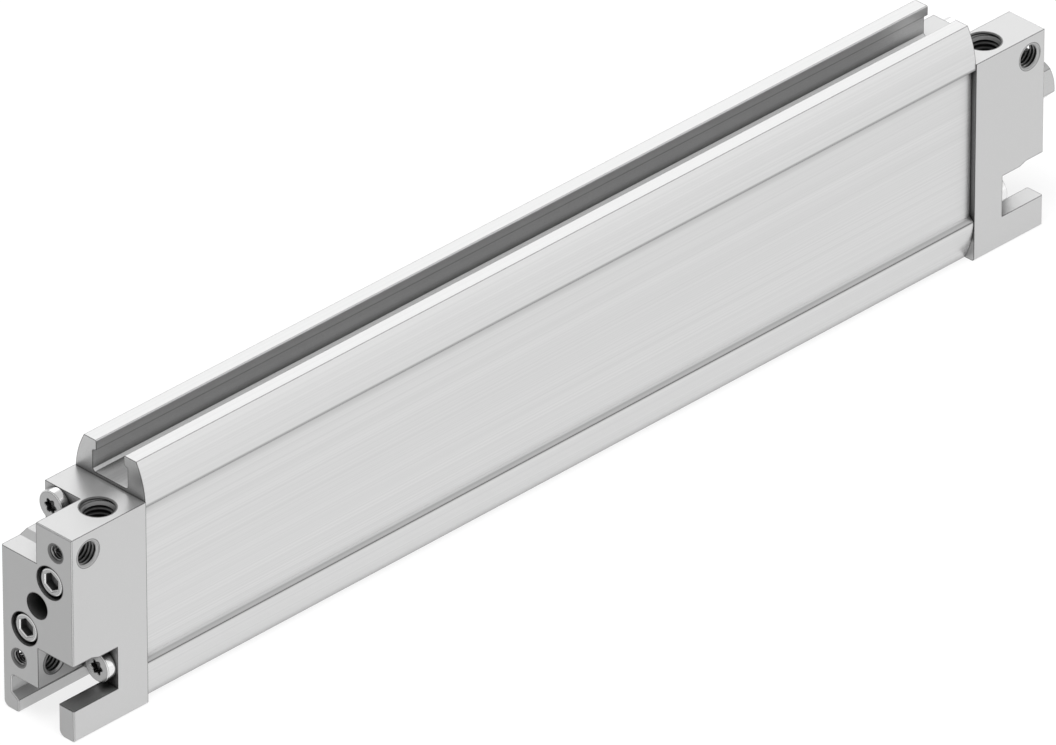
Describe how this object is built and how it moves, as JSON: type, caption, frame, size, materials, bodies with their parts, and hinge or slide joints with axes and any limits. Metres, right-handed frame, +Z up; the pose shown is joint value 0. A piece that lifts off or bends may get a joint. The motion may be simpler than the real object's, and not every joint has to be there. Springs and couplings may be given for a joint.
{
  "type": "flat pneumatic cylinder",
  "caption": "Flat double-acting air cylinder: slotted extruded barrel, machined end caps with ports and threads, sliding rod with a hexagon end.",
  "frame": {"origin": "where the bore's centre axis meets the rear end face, at the mouth of the rear centring bore", "axes": "+X along the cylinder towards the rod end, +Z up, -Y towards the side with the upper cross threads"},
  "size_m": [0.3864, 0.027, 0.0746],
  "materials": {
    "barrel_aluminium": "clear anodised, fine lengthwise drawing lines",
    "cap_aluminium": "clear anodised, machined",
    "inner_aluminium": "machined",
    "screw_steel": "bright zinc-plated steel",
    "rod_steel": "ground and polished stainless steel",
    "bushing_bronze": "sintered bronze",
    "seal_rubber": "smooth polyurethane",
    "buffer_rubber": "matt rubber",
    "magnet": "plastic-bonded magnet",
    "guide_plastic": "bearing plastic"
  },
  "bodies": {
    "barrel": {"profile_barrel": "barrel_aluminium", "rear_end_cap": "cap_aluminium", "front_end_cap": "cap_aluminium", "rear_lobe_screws": "screw_steel", "front_lobe_screws": "screw_steel", "rear_socket_screws": "screw_steel", "front_socket_screws": "screw_steel", "rear_end_plug": "inner_aluminium", "front_end_plug": "inner_aluminium", "rear_plug_seal": "seal_rubber", "front_plug_seal": "seal_rubber", "rear_channel_seal": "seal_rubber", "front_channel_seal": "seal_rubber", "rear_buffer": "buffer_rubber", "front_buffer": "buffer_rubber", "rod_wiper": "seal_rubber", "rod_bushing": "bushing_bronze", "rod_seal": "seal_rubber", "seal_washer": "screw_steel"},
    "rod": {"piston_rod": "rod_steel", "piston_rear_half": "inner_aluminium", "piston_front_half": "inner_aluminium", "piston_magnet": "magnet", "piston_wear_ring": "guide_plastic", "rear_piston_seal": "seal_rubber", "front_piston_seal": "seal_rubber", "piston_core_seal": "seal_rubber", "piston_washer": "screw_steel", "piston_nut": "screw_steel"}
  },
  "joints": [
    {"name": "rod_slide", "type": "slide", "parent": "barrel", "child": "rod", "axis": [1, 0, 0], "range_m": [0, 0.25]}
  ]
}
